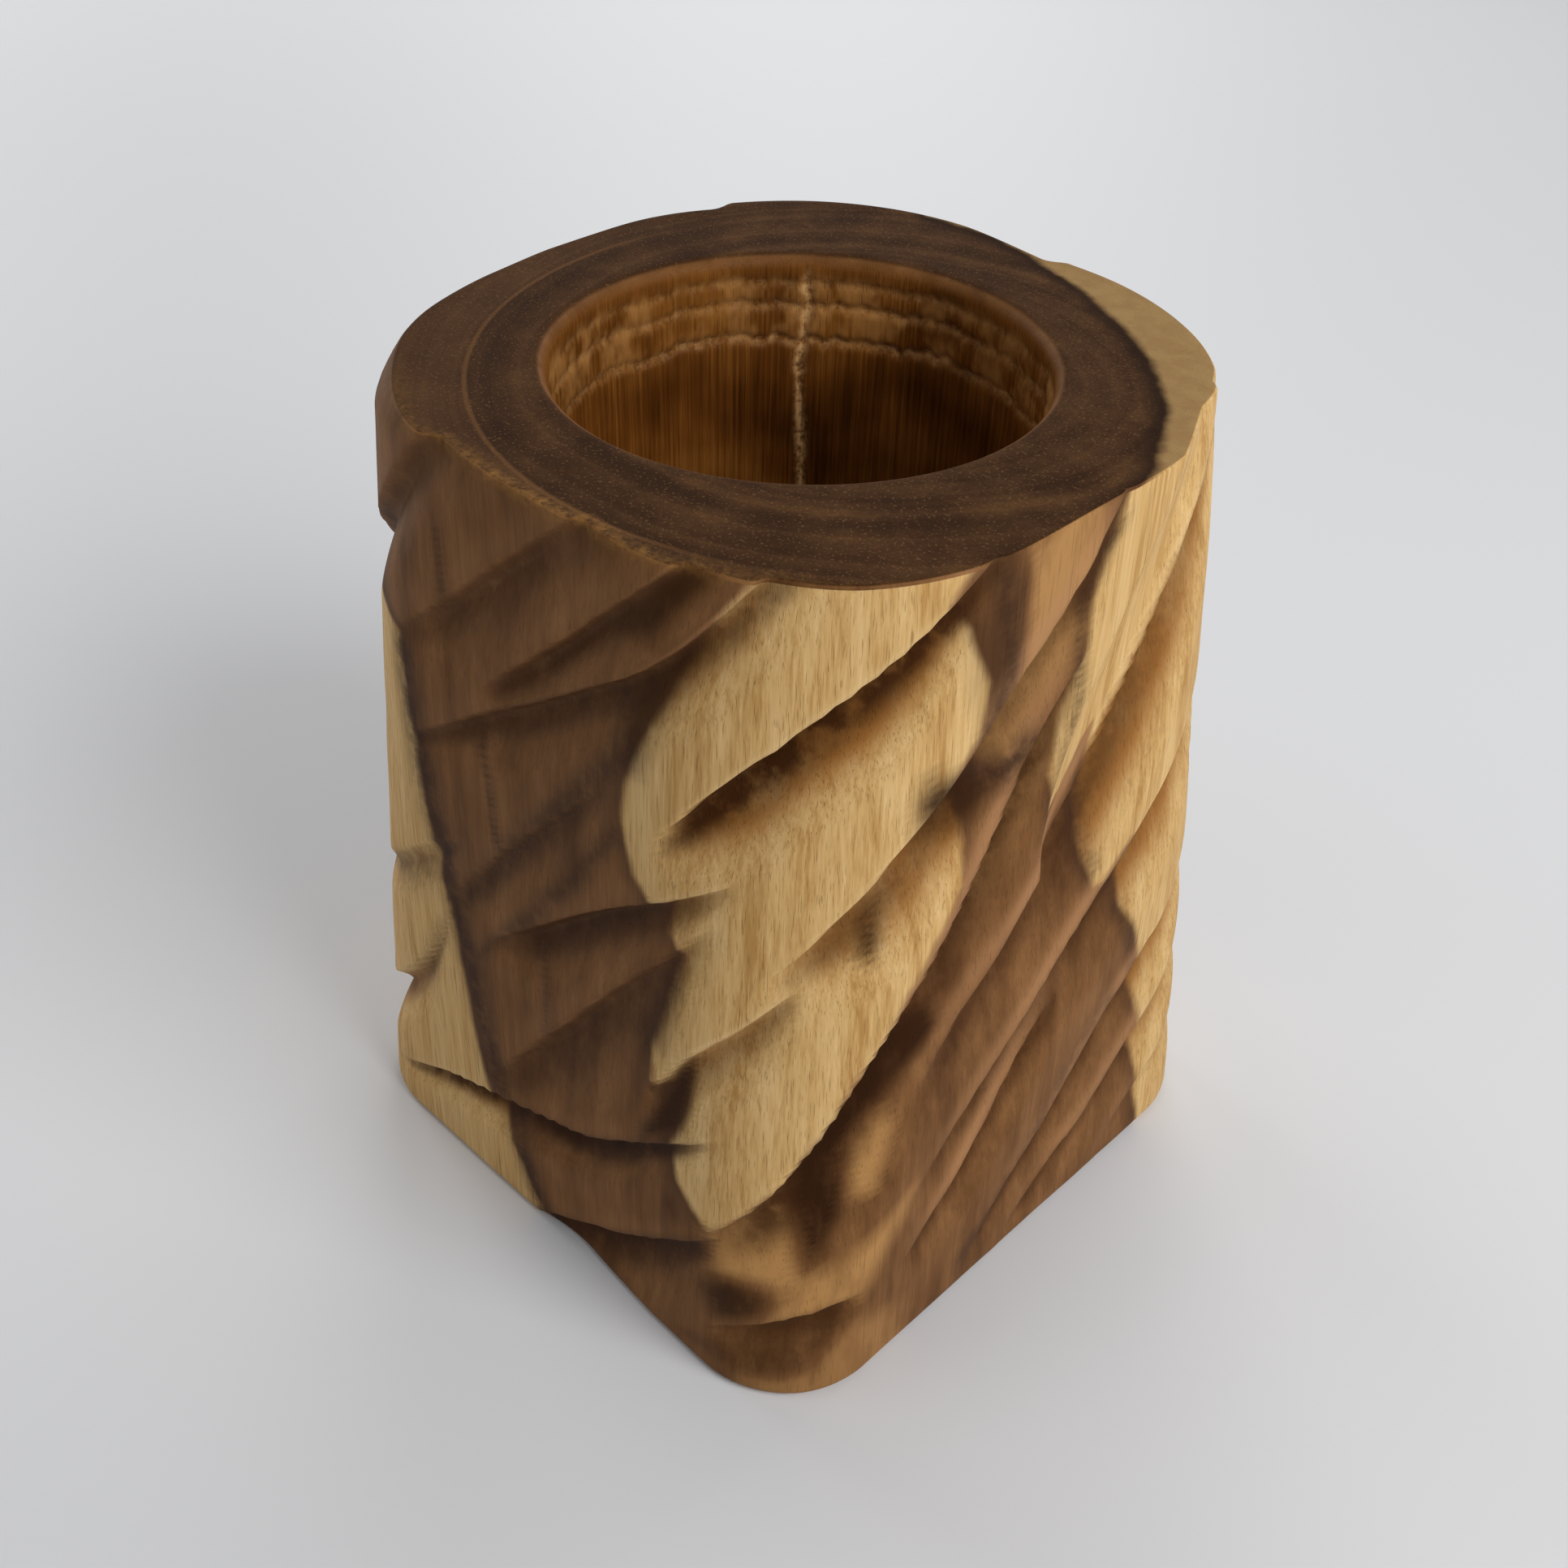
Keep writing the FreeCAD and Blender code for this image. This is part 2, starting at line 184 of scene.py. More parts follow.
# Where the pale sapwood shows on the sides, each as an outline of (angle, height) points.
SAPWOOD = {
    "front_corner": [
        (-49.8, 102.0), (-56.3, 95.0), (-61.4, 87.7), (-65.5, 82.0), (-68.3, 76.0), (-69.0, 71.0),
        (-67.3, 66.0), (-64.3, 63.5), (-60.3, 66.0), (-61.8, 61.0), (-59.4, 59.0), (-61.3, 54.0),
        (-64.8, 45.0), (-64.5, 40.0), (-61.8, 41.0), (-58.0, 46.0), (-58.6, 39.0), (-61.4, 33.0),
        (-60.3, 28.0), (-55.8, 23.3), (-51.5, 27.7), (-46.4, 32.7), (-41.3, 40.6), (-37.2, 47.7),
        (-33.1, 53.4), (-28.8, 59.5), (-24.3, 66.0), (-24.8, 73.0), (-27.5, 79.1), (-23.8, 83.0),
        (-23.4, 88.0), (-26.5, 94.0), (-29.8, 97.0), (-24.8, 102.0)],
    "right_corner": [
        (3.2, 102.0), (0.7, 97.0), (-2.3, 90.0), (-3.3, 84.0), (-6.8, 78.0), (-7.3, 72.0),
        (-4.8, 66.0), (-0.5, 66.3), (4.6, 71.3), (7.2, 72.5), (5.7, 66.0), (5.2, 59.0), (8.7, 51.5),
        (10.8, 51.3), (16.9, 55.6), (18.4, 51.0), (18.2, 45.0), (22.2, 39.0), (25.2, 31.0),
        (27.7, 21.0), (32.2, -2.0), (65.2, -2.0), (77.2, 35.0), (91.2, 68.0), (109.2, 102.0)],
    "left_corner": [
        (-118.0, 75.0), (-114.8, 60.0), (-113.0, 47.2), (-110.0, 40.0), (-109.0, 32.0),
        (-106.8, 22.0), (-104.5, 15.0), (-99.0, 9.5), (-93.0, 3.0), (-89.0, -2.0), (-170.8, -2.0),
        (-162.8, 36.0), (-146.8, 70.0), (-130.8, 78.0)],
    "back_corner": [
        (135.2, 52.0), (129.2, 40.0), (121.2, 18.0), (111.2, -2.0), (159.2, -2.0), (151.2, 20.0),
        (142.2, 42.0)],
}

# Lighter, golden areas (positive) and darker ones (negative): strength, how soft the border is, and
# the outline as (angle, height) points. Of the darker ones, foot_shadow is painted shade, and wedge
# is partly dark heartwood and partly painted shade.
TONES = {
    "foot_gold": (0.9, 3.0, [
        (-55.5, 23.0), (-54.6, 17.8), (-47.0, 17.0), (-48.3, 12.0), (-40.8, 13.8), (-36.6, 13.0),
        (-29.6, 23.2), (-28.6, 26.0), (-37.8, 21.0), (-43.0, 19.2), (-44.3, 24.0), (-46.0, 29.2),
        (-52.0, 26.0)]),
    "foot_band": (0.5, 3.0, [
        (-52.0, -2.0), (-50.0, 2.5), (-42.0, 4.5), (-36.0, 10.0), (-31.0, 8.0), (-27.0, -2.0)]),
    "front_patch": (1.0, 2.0, [
        (-38.8, 34.5), (-36.5, 38.0), (-34.0, 39.5), (-32.3, 37.0), (-33.4, 33.0), (-34.8, 29.0),
        (-37.3, 29.5)]),
    "rim_peach": (0.85, 2.5, [
        (-18.0, 99.5), (-5.0, 102.0), (-2.8, 97.2), (-3.8, 93.6), (-10.5, 90.4), (-17.0, 87.0),
        (-18.0, 93.0)]),
    "speckled_trough": (0.8, 3.0, [
        (-14.2, 88.5), (-6.3, 90.6), (-3.5, 87.5), (-6.5, 83.8), (-13.0, 80.5), (-15.0, 75.8),
        (-18.2, 75.8), (-22.8, 77.4), (-20.5, 82.8)]),
    "lower_crest": (0.5, 3.0, [
        (-24.0, 61.0), (-16.0, 72.0), (-6.0, 80.0), (-8.0, 73.0), (-18.0, 61.0), (-24.0, 54.0)]),
    "upper_tip": (0.5, 2.5, [
        (-64.0, 69.5), (-59.0, 68.5), (-53.0, 74.0), (-52.5, 79.0), (-58.0, 76.5)]),
    # Partly dark heartwood, partly painted shade in the groove under the lower corner cut.
    "wedge": (-1.0, 2.0, [
        (-27.0, 50.0), (-34.0, 48.5), (-37.8, 44.5), (-42.2, 38.4), (-45.4, 32.8), (-45.0, 28.0),
        (-43.6, 19.8), (-41.0, 23.0), (-38.6, 27.2), (-38.4, 35.0), (-35.0, 40.0), (-31.0, 43.0),
        (-25.0, 47.0)]),
    "knot": (-0.9, 2.4, [
        (-56.6, 14.2), (-54.0, 17.4), (-48.6, 18.0), (-46.2, 15.4), (-48.3, 12.6), (-54.6, 10.6)]),
    "scoop": (-0.55, 2.0, [
        (-60.0, 3.0), (-53.6, 6.6), (-48.6, 10.2), (-44.0, 12.9), (-37.4, 14.2), (-36.4, 12.4),
        (-39.0, 8.4), (-42.6, 4.6), (-46.0, 3.4), (-53.3, 3.4)]),
    "trough_blot": (-0.9, 3.0, [
        (-31.0, 80.5), (-21.0, 77.2), (-17.5, 78.0), (-16.5, 75.5), (-20.0, 73.8), (-26.6, 71.5),
        (-31.5, 73.0)]),
    "purple_column": (-0.5, 3.5, [
        (-26.5, 93.0), (-25.4, 88.0), (-22.5, 84.0), (-19.8, 86.5), (-18.0, 91.2), (-18.5, 97.0),
        (-22.5, 101.0)]),
    "middle_spot": (-0.9, 1.6, [
        (-38.6, 61.6), (-38.4, 65.4), (-36.2, 67.0), (-35.4, 63.0), (-36.6, 60.2)]),
    "left_wedge": (-0.95, 1.6, [
        (-66.5, 32.5), (-58.3, 46.8), (-58.2, 42.0), (-59.6, 35.6), (-67.3, 29.5)]),
    "finger_gap": (-0.7, 2.0, [
        (-67.5, 46.0), (-60.5, 58.8), (-59.8, 54.0), (-62.5, 46.0), (-67.5, 41.0)]),
    "crease_end": (-0.6, 3.0, [
        (-70.0, 84.0), (-60.5, 92.0), (-57.0, 94.0), (-63.0, 84.0), (-66.0, 78.0), (-69.5, 78.0)]),
    "rim_end": (-0.8, 2.5, [(-70.0, 91.5), (-59.0, 99.8), (-56.5, 99.2), (-64.0, 92.0)]),
    "low_band": (-0.75, 1.6, [
        (-95.0, 17.3), (-83.1, 20.6), (-70.3, 27.0), (-60.0, 34.0), (-57.0, 35.5), (-60.0, 31.5),
        (-67.8, 24.5), (-77.3, 18.6), (-89.0, 15.8)]),
    "foot_shadow": (-0.7, 1.6, [
        (-90.8, 2.0), (-75.8, 8.4), (-64.8, 15.4), (-56.1, 21.8), (-56.0, 19.0), (-64.8, 11.8),
        (-76.1, 5.2)]),
    "middle_lens": (-0.5, 2.0, [
        (-95.0, 45.4), (-82.3, 52.8), (-65.0, 63.0), (-64.0, 61.0), (-73.3, 54.0), (-91.0, 43.6)]),
    "column_spot": (-0.7, 2.2, [
        (-19.8, 97.0), (-18.6, 90.6), (-17.2, 91.2), (-17.4, 96.0), (-18.4, 98.0)]),
}

# How far out the heartwood reaches on the top, by angle. Beyond it is sapwood.
TOP_SAPWOOD = [
    (-30.0, 60.0), (-1.1, 38.9), (6.1, 37.7), (21.2, 35.6), (37.7, 34.0), (53.3, 33.2),
    (67.2, 33.2), (84.2, 34.6), (101.8, 38.0), (114.6, 40.0), (135.0, 60.0)]

# Dark veins in the wood: width, strength, and a line of (angle, height) points.
VEINS = [
    (2.3, 0.85, [
        (-117.5, 73.5), (-114.0, 59.0), (-111.0, 49.0), (-108.8, 40.5), (-105.0, 29.0),
        (-101.6, 17.0), (-96.5, 9.0), (-91.6, 1.0)]),
    (0.75, 0.55, [(-105.9, 90.5), (-105.3, 84.5)]),
    (0.8, 0.7, [(-100.6, 68.0), (-98.0, 64.5), (-98.3, 60.2), (-96.6, 54.5)]),
    (0.8, 0.5, [(-90.0, 46.0), (-87.5, 40.0), (-88.5, 33.0)]),
    (2.0, 0.7, [
        (-110.0, 42.5), (-101.6, 50.0), (-95.6, 55.8), (-82.8, 66.5), (-75.5, 73.0), (-71.0, 77.0),
        (-67.8, 81.0)]),
    (1.3, 0.65, [(-92.6, 48.0), (-86.0, 54.0), (-78.0, 61.0), (-70.8, 69.2)]),
    (1.1, 0.5, [(-106.6, 36.0), (-98.0, 44.0), (-92.0, 49.0)]),
    (1.0, 0.4, [(-110.5, 42.0), (-121.0, 25.0)]),
    (2.0, 0.5, [(-126.0, 39.0), (-113.0, 46.0)]),
    (0.7, 0.55, [(-69.8, 84.8), (-68.0, 83.5), (-68.6, 78.8)]),
    (1.6, 0.8, [(-22.8, 99.0), (-20.8, 93.0), (-19.3, 88.0), (-21.8, 83.0), (-22.8, 80.0)]),
    (0.9, 0.7, [(1.2, 97.0), (-3.8, 90.0), (-4.3, 85.0), (-2.8, 80.0), (-4.8, 74.0), (-5.8, 68.0)]),
    (1.3, 0.6, [(6.2, 66.0), (5.2, 60.0), (8.2, 54.0)]),
    (1.1, 0.5, [(16.2, 53.0), (16.7, 47.0), (20.2, 39.0), (23.2, 33.0)]),
    (2.0, 0.5, [(-14.8, 5.0), (-4.8, 12.0), (3.2, 19.0), (10.2, 26.0), (17.2, 31.0)]),
    (1.8, 0.9, [(-29.8, 77.5), (-22.8, 76.5), (-16.8, 76.0), (-12.8, 77.5)]),
]


# ---------------------------------------------------------------- shape

def wobble(x, y, z, size, seed=0.0):
    """Smooth noise between about -1 and 1 at every point of three equal arrays."""
    points = np.broadcast_arrays(np.asarray(x, float), np.asarray(y, float), np.asarray(z, float))
    flat = [p.ravel() / size for p in points]
    values = [noise.noise((a + seed, b, c)) for a, b, c in zip(*flat)]
    return np.array(values).reshape(points[0].shape)


def block_radius(angle, height):
    """How far the uncarved block reaches from the axis."""
    share = height / HEIGHT
    half = BASE_HALF_WIDTH + (RIM_HALF_WIDTH - BASE_HALF_WIDTH) * share
    corner = 45 + 90 * np.round((angle - 45) / 90)
    at_rim = np.zeros_like(half)
    for pointing, radius in RIM_CORNER_RADII.items():
        at_rim = np.where(np.mod(corner, 360) == pointing, radius, at_rim)
    radius = BASE_CORNER_RADIUS + (at_rim - BASE_CORNER_RADIUS) * share
    off = np.radians(np.abs(angle - corner))
    centre = (half - radius) * math.sqrt(2)
    on_arc = off < math.pi / 4 - np.arctan2(half - radius, half)
    arc = centre * np.cos(off) + np.sqrt(np.maximum(radius ** 2 - (centre * np.sin(off)) ** 2, 0.0))
    return np.where(on_arc, arc, half / np.cos(math.pi / 4 - off))


def edge_at(points, angle):
    """Height and slope of a smooth line through a cut's edge points, run on straight beyond them."""
    x, y = np.array(points).T
    chord = np.diff(y) / np.diff(x)
    slope = np.concatenate([chord[:1], (chord[1:] + chord[:-1]) / 2, chord[-1:]])
    inside = np.clip(angle, x[0], x[-1])
    k = np.clip(np.searchsorted(x, inside) - 1, 0, len(x) - 2)
    span = x[k + 1] - x[k]
    t = (inside - x[k]) / span
    height = ((1 + 2 * t) * (1 - t) ** 2 * y[k] + t * (1 - t) ** 2 * span * slope[k]
              + t * t * (3 - 2 * t) * y[k + 1] + t * t * (t - 1) * span * slope[k + 1])
    gradient = slope[k] + (slope[k + 1] - slope[k]) * t
    return height + gradient * (angle - inside), gradient


def fullness(share, starts_in_tip, ends_in_tip):
    """How much of its width and depth a cut has at a share of its length."""
    full = np.ones_like(share)
    for is_tip, distance in ((starts_in_tip, share), (ends_in_tip, 1 - share)):
        if is_tip:
            full = np.minimum(full, np.sin(math.pi / 2 * np.clip(distance / TIP_SHARE, 0, 1)))
    return full


def smooth(share):
    share = np.clip(share, 0, 1)
    return share * share * (3 - 2 * share)


def carve(angle, height):
    """Arrays over the skin: cut depth, gold, stain and painted shade, and painted highlights near
    edges.
    """
    skin = block_radius(angle, height)
    bite, gold, stain, edge_highlight, crest = (np.zeros_like(skin) for _ in range(5))
    for width, depth, peak, dark, starts_in_tip, ends_in_tip, points in CUTS.values():
        start, end = points[0][0], points[-1][0]
        middle = (start + end) / 2
        near = middle + np.mod(angle - middle + 180, 360) - 180
        full = fullness((near - start) / (end - start), starts_in_tip, ends_in_tip)
        edge, slope = edge_at(points, near)
        below = (edge - height) / np.sqrt(1 + (slope / np.radians(skin)) ** 2)
        place = below / (width * (TIP_WIDTH + (1 - TIP_WIDTH) * full))
        wall = np.clip(place / peak, 0, 1)
        fade = np.clip((1 - place) / (1 - peak), 0, 1) ** FADE_POWER
        cut = np.where(place > 0, depth * full * wall * (2 - wall) * fade, 0.0)
        line = np.exp(-((below - 0.35) / 0.35) ** 2)
        faded = smooth((place - STAIN_AND_SHADE_FULL) / (STAIN_AND_SHADE_END - STAIN_AND_SHADE_FULL))
        wash = np.clip(below / 0.5, 0, 1) * (1 - faded)
        # The dark band under each edge: partly the stained wood of the cut wall, partly painted shade
        # on the wall.
        shade = dark * np.minimum(1.0, 2 * full) * np.minimum(1.0, wash + 0.4 * line)
        wins = smooth(0.5 + (cut - bite) / 0.8)
        stain = np.maximum(stain * (1 - 0.6 * wins), shade * (0.35 + 0.65 * wins))
        if peak < STEEP_PEAK:
            # Painted highlight along each crisp cut edge, partly the lighter wear of the edge.
            edge_highlight = np.maximum(edge_highlight, full * np.exp(-((below + 0.2) / 0.35) ** 2))
            # Painted highlight over the crest above each crisp edge, where it catches the light.
            crest = np.maximum(crest, full * np.exp(-((below + 1.1) / 1.4) ** 2))
        gold = np.maximum(gold, cut * min(1.0, 2 * dark))
        bite = np.maximum(bite, cut)
    shallow = 1 - RIM_FADE * np.exp(-((HEIGHT - height) / RIM_FADE_REACH) ** 2)
    bite, gold = bite * shallow, gold * shallow
    return {"bite": bite, "gold": gold, "stain": stain, "edge": edge_highlight, "crest": crest}


def inside_distance(outline, angle, height):
    """Distance in millimetres to an outline on the unrolled sides, positive inside it."""
    points = np.array(outline) * (UNWRAP, 1.0)
    centre = np.mean([p[0] for p in outline])
    x = (centre + np.mod(angle - centre + 180, 360) - 180) * UNWRAP
    nearest = np.full_like(x, 1e6)
    inside = np.zeros(x.shape, bool)
    for (x0, y0), (x1, y1) in zip(points, np.roll(points, -1, axis=0)):
        nearest = np.minimum(nearest, segment_distance(x, height, x0, y0, x1, y1))
        crosses = (y0 > height) != (y1 > height)
        inside ^= crosses & (x < x0 + (height - y0) * (x1 - x0) / ((y1 - y0) or 1e-9))
    return np.where(inside, nearest, -nearest)


def segment_distance(x, y, x0, y0, x1, y1):
    """Distance from every point (x, y) to the line between two points."""
    dx, dy = x1 - x0, y1 - y0
    t = np.clip(((x - x0) * dx + (y - y0) * dy) / (dx * dx + dy * dy), 0, 1)
    return np.hypot(x - x0 - t * dx, y - y0 - t * dy)


def tone_at(angle, height):
    """How much lighter or darker the wood is, by the named areas."""
    tone = np.zeros_like(angle)
    for strength, softness, outline in TONES.values():
        tone += strength * np.clip(0.5 + inside_distance(outline, angle, height) / softness, 0, 1)
    return tone


def vein_strength(angle, height):
    """How dark the veins are."""
    strength = np.zeros_like(angle)
    for width, dark, line in VEINS:
        centre = line[0][0]
        x = (centre + np.mod(angle - centre + 180, 360) - 180) * UNWRAP
        nearest = np.full_like(x, 1e6)
        for (a0, h0), (a1, h1) in zip(line, line[1:]):
            away = segment_distance(x, height, a0 * UNWRAP, h0, a1 * UNWRAP, h1)
            nearest = np.minimum(nearest, away)
        strength = np.maximum(strength, dark * np.exp(-(nearest / width) ** 2))
    return strength


class Rings:
    """Rings of points from the middle of the underside, up the sides, over the rim, into the well."""

    FIELDS = ("sapwood", "tone", "gold", "stain", "edge", "crest", "vein", "well", "torn")
    DEFAULTS = {"sapwood": -20.0}

    def __init__(self):
        self.points = []
        self.fields = {name: [] for name in self.FIELDS}

    def add(self, x, y, z, **fields):
        z = np.broadcast_to(np.asarray(z, float), x.shape)
        self.points.append(np.stack([x, y, z], axis=1))
        for name in self.FIELDS:
            value = fields.get(name, self.DEFAULTS.get(name, 0.0))
            self.fields[name].append(np.broadcast_to(np.asarray(value, float), x.shape))


def outer_heights():
    """The heights of the outer rings, closer together over the two rounded edges."""
    foot = FOOT_ROUND * (1 - np.cos(np.linspace(0, math.pi / 2, 6)))
    rim = HEIGHT - RIM_ROUND * (1 - np.sin(np.linspace(0, math.pi / 2, 5)))
    between = np.linspace(FOOT_ROUND, HEIGHT - RIM_ROUND, OUTER_ROWS)[1:-1]
    return np.concatenate([foot, between, rim])


def rounding(distance, radius):
    """How far a rounded edge stands back at a distance from the end of the piece."""
    short = np.maximum(radius - distance, 0.0)
    return radius - np.sqrt(np.maximum(radius ** 2 - short ** 2, 0.0))


def torn_rim(angle):
    """How frayed the rim is: rough fibres on the side left of the front corner, crisp elsewhere."""
    window = np.exp(-(((angle - FRAYED_MIDDLE + 180) % 360 - 180) / FRAYED_REACH) ** 2)
    return window * (0.55 + 0.45 * wobble(angle, 0, 0, 1.3, 5.0))


def add_outside(rings, columns):
    """The carved sides, from the rounded foot to the rounded rim."""
    for height in outer_heights():
        angle = columns + TWIST * height
        level = np.full_like(angle, height)
        carved = carve(angle, level)
        skin = block_radius(angle, level)
        near_rim = math.exp(-((HEIGHT - height) / FRAYED_HEIGHT) ** 2)
        torn = torn_rim(angle) * near_rim
        turn = np.radians(angle)
        ripple = RIPPLE * (1 + wobble(skin * np.cos(turn), skin * np.sin(turn), level, 7.0))
        round_edges = rounding(height, FOOT_ROUND) + rounding(HEIGHT - height, RIM_ROUND)
        reach = skin - carved.pop("bite") - ripple - round_edges
        reach = reach - FRAYED_DEPTH * np.maximum(torn, 0) * (1 + wobble(angle, level, 0, 0.8, 9.0))
        sapwood = np.maximum.reduce([inside_distance(o, angle, level) for o in SAPWOOD.values()])
        rings.add(reach * np.cos(turn), reach * np.sin(turn), height, sapwood=sapwood, torn=torn,
                  tone=tone_at(angle, level), vein=vein_strength(angle, level), **carved)


def top_sapwood(x, y):
    """Distance past the border of the sapwood on the top, positive in the sapwood."""
    angle = np.degrees(np.arctan2(y, x))
    reach = np.interp(angle, *np.array(TOP_SAPWOOD).T, left=60.0, right=60.0)
    return np.hypot(x, y) - reach


def add_top(rings, columns):
    """The flat end grain between the rim and the well, then the rounded lip."""
    rim = rings.points[-1]
    turn = np.radians(columns + TWIST * HEIGHT)
    flare = BORE_RADIUS + LIP_ROUND
    lip_x = BORE_CENTRE[0] + flare * np.cos(turn)
    lip_y = BORE_CENTRE[1] + flare * np.sin(turn)
    for k in range(len(rings.points) - 4, len(rings.points)):  # the rounded rim matches the top
        x, y, _ = rings.points[k].T
        rings.fields["sapwood"][k] = top_sapwood(x, y)
    for share in np.linspace(0, 1, TOP_RINGS + 2)[1:-1] ** 1.25:  # closer together by the rim
        x = rim[:, 0] + (lip_x - rim[:, 0]) * share
        y = rim[:, 1] + (lip_y - rim[:, 1]) * share
        sink = 0.05 * (1 + wobble(x, y, 0, 5.0, 3.0)) * min(1.0, share * 8)
        torn = torn_rim(np.degrees(turn)) * math.exp(-(share / 0.07) ** 2)
        rings.add(x, y, HEIGHT - sink, sapwood=top_sapwood(x, y), torn=torn)


def add_well(rings, columns):
    """The lip, the wall with the rings that the tool left, the rounded corner and the floor."""
    turn = np.radians(columns + TWIST * HEIGHT)
    angle = np.degrees(turn)
    lip = LIP_ROUND * (1 - np.cos(np.linspace(0, math.pi / 2, 7)))
    near = np.arange(LIP_ROUND + 0.35, TOOLED_DEPTH, 0.35)
    deep = np.linspace(TOOLED_DEPTH, BORE_DEPTH - BORE_FLOOR_ROUND, 16)
    at_back = 0.45 + 0.55 * np.exp(-(((angle - ROUGHEST_ANGLE + 180) % 360 - 180) / 70) ** 2)
    for depth in np.concatenate([lip, near, deep]):
        drift = 0.8 * wobble(30 * np.cos(turn), 30 * np.sin(turn), 0, 9.0, 2.0)
        drift = drift + 0.5 * wobble(30 * np.cos(turn), 30 * np.sin(turn), 0, 1.6, 8.0) * at_back
        rough = 0.5 + 0.5 * wobble(angle, depth, 0, 2.0, 4.0)
        step = sum(deepness * np.exp(-((depth - place - drift * wander) / 0.5) ** 2)
                   for place, deepness, wander in TOOL_RINGS) * at_back
        line = CRACK_ANGLE + 1.2 * wobble(0, 0, depth, 2.2, 7.0)
        line = line + 1.5 * wobble(0, 0, depth, 9.0, 1.0)
        across = ((angle - line + 180) % 360 - 180) * math.radians(BORE_RADIUS)
        crack_width = 0.5 + 0.4 * wobble(0, 0, depth, 1.5, 3.0)
        crack = np.exp(-(across / crack_width) ** 2) * min(1.0, max(0.0, (depth - 1.2) / 2.0))
        reach = BORE_RADIUS + rounding(depth, LIP_ROUND) + step * (0.6 + 0.6 * rough)
        reach = reach + CRACK_DEPTH * crack
        reach = reach + 0.06 * wobble(angle / 3, depth / 6, 0, 1.0, 6.0) * min(1.0, depth / LIP_ROUND)
        x = BORE_CENTRE[0] + reach * np.cos(turn)
        y = BORE_CENTRE[1] + reach * np.sin(turn)
        rings.add(x, y, HEIGHT - depth, well=min(1.0, depth / LIP_ROUND),
                  torn=np.maximum(0.9 * crack, 1.5 * step * np.maximum(rough, 0)))
    floor = HEIGHT - BORE_DEPTH
    bends = np.linspace(0, math.pi / 2, 6)[1:]
    corner = [(BORE_RADIUS - BORE_FLOOR_ROUND * (1 - math.cos(bend)),
               floor + BORE_FLOOR_ROUND * (1 - math.sin(bend))) for bend in bends]
    for reach, height in corner + [(15.0, floor), (8.0, floor), (2.0, floor)]:
        x = BORE_CENTRE[0] + reach * np.cos(turn)
        y = BORE_CENTRE[1] + reach * np.sin(turn)
        rings.add(x, y, height, well=1.0)


def add_underside(rings, columns):
    """The flat face that the pot stands on, from near its middle outwards."""
    foot = block_radius(columns, np.zeros_like(columns)) - FOOT_ROUND
    turn = np.radians(columns)
    for share in (0.05, 0.35, 0.65, 0.9):
        reach = foot * share
        rings.add(reach * np.cos(turn), reach * np.sin(turn), 0.0, sapwood=reach - UNDERSIDE_SAPWOOD)


def make_pot():
    """The whole pot as one closed mesh, with the fields of Rings as its attributes."""
    columns = np.linspace(-180, 180, COLUMNS, endpoint=False)
    rings = Rings()
    add_underside(rings, columns)
    add_outside(rings, columns)
    add_top(rings, columns)
    add_well(rings, columns)
    points = np.concatenate(rings.points) * MM
    count = len(rings.points)
    faces = []
    for ring in range(count - 1):
        for k in range(COLUMNS):
            a, b = ring * COLUMNS + k, ring * COLUMNS + (k + 1) % COLUMNS
            faces.append((a, b, b + COLUMNS, a + COLUMNS))
    faces.append(tuple(reversed(range(COLUMNS))))
    faces.append(tuple(range((count - 1) * COLUMNS, count * COLUMNS)))
    mesh = bpy.data.meshes.new("carved_wood")
    mesh.from_pydata([tuple(p) for p in points], [], faces)
    for name, values in rings.fields.items():
        mesh.attributes.new(name, "FLOAT", "POINT").data.foreach_set("value", np.concatenate(values))
    mesh.shade_smooth()
    mesh.update()
    pot = bpy.data.objects.new("carved_wood", mesh)
    bpy.context.collection.objects.link(pot)
    return pot


# ---------------------------------------------------------------- material

# Colours are written as 0 to 255 values. A ramp's stops are (place, colour).
HEART_STOPS = (
    (0.34, (88, 56, 30)), (0.46, (118, 80, 46)), (0.54, (132, 91, 54)), (0.66, (150, 106, 65)))
HEART_GRAIN = (82, 51, 27)
HEART_BORDER = (70, 44, 28)
HEART_PALE = (190, 142, 86)
# Dark heartwood, and painted shade for the darker areas that stand for shadow.
HEART_DARK_AND_SHADE = (54, 30, 11)
# Painted highlight on the heartwood crests.
HEART_CREST_HIGHLIGHT = (178, 130, 88)
SAP_STOPS = ((0.34, (229, 193, 136)), (0.50, (212, 172, 112)), (0.64, (184, 139, 80)))
SAP_PORES = (166, 114, 58)
SAP_CUT = (158, 103, 46)
# Painted highlight along the crisp cut edges of the sapwood, partly the lighter wear of the edges.
SAP_EDGE_HIGHLIGHT = (236, 202, 148)
# Dark brown of the cut walls: partly stained wood, partly painted shade.
STAIN_AND_SHADE = (62, 33, 12)
VEIN = (56, 37, 27)
TOP_STOPS = (
    (0.36, (55, 33, 16)), (0.47, (68, 43, 22)), (0.56, (78, 51, 28)), (0.68, (92, 62, 34)))
TOP_FIBRES = (46, 28, 14)
TOP_PALE = (92, 64, 42)
# Painted shade for the front-left of the top.
TOP_LEFT_SHADE = (46, 29, 18)
TOP_RING_LINE = (122, 84, 50)
TOP_DOTS = (128, 94, 62)
TOP_BORDER = (34, 18, 8)
TOP_SAP_PALE = (162, 130, 84)
TOP_SAP_DARK = (142, 108, 68)
WELL_STOPS = ((0.35, (66, 34, 8)), (0.5, (104, 60, 20)), (0.65, (144, 92, 38)))
